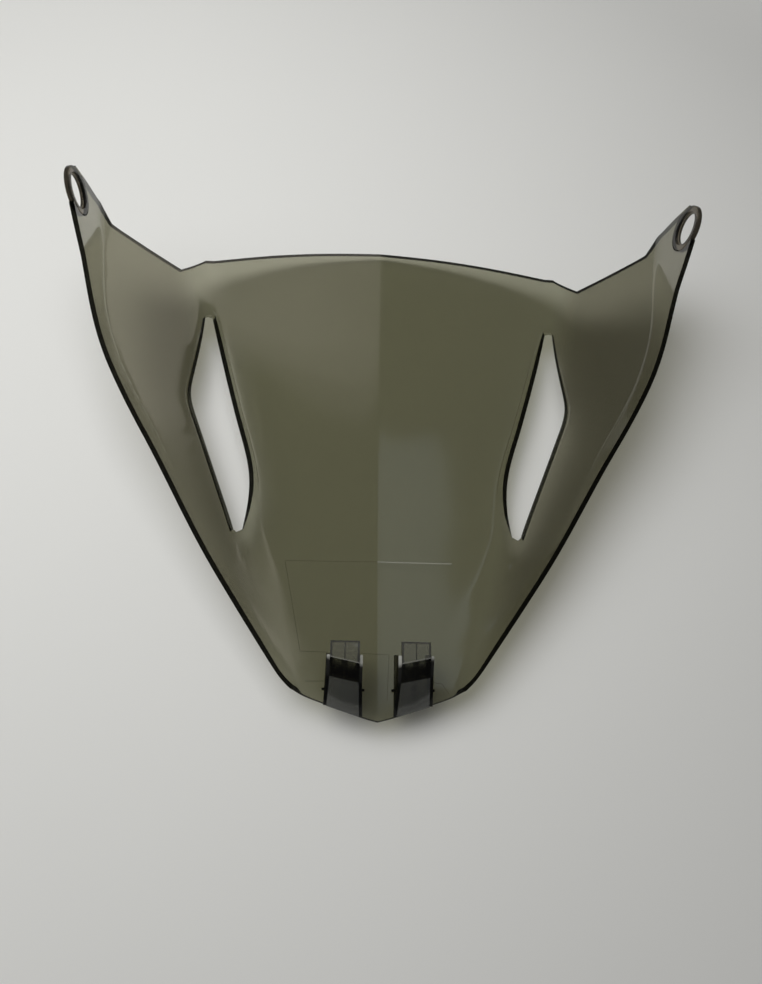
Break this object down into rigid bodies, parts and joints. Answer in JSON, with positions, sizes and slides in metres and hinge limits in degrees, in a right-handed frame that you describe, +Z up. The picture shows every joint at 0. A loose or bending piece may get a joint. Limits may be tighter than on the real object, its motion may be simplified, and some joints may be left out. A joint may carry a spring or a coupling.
{
  "type": "windshield screen",
  "caption": "Smoked scooter windshield screen with slanted vent slots, upturned ears with round eyelets, and channel-shaped hook clips at its pointed lower edge.",
  "frame": {"origin": "middle of the bounding box, at the lowest line of the outer face", "axes": "+Z up from the outer (front) face towards the hollow (rider's) side, +Y along the keel from the pointed lower end to the top edge, +X towards the right ear"},
  "size_m": [0.3874, 0.3324, 0.1034],
  "materials": {
    "smoked_screen": "smoked olive-grey, clear, polished",
    "smoked_clip": "smoked grey, clear, polished",
    "eyelet": "smoked grey-brown, satin"
  },
  "bodies": {
    "root": {"screen_panel": "smoked_screen", "eyelet_left": "eyelet", "eyelet_right": "eyelet", "hook_clip_left": "smoked_clip", "hook_clip_right": "smoked_clip"}
  },
  "joints": []
}
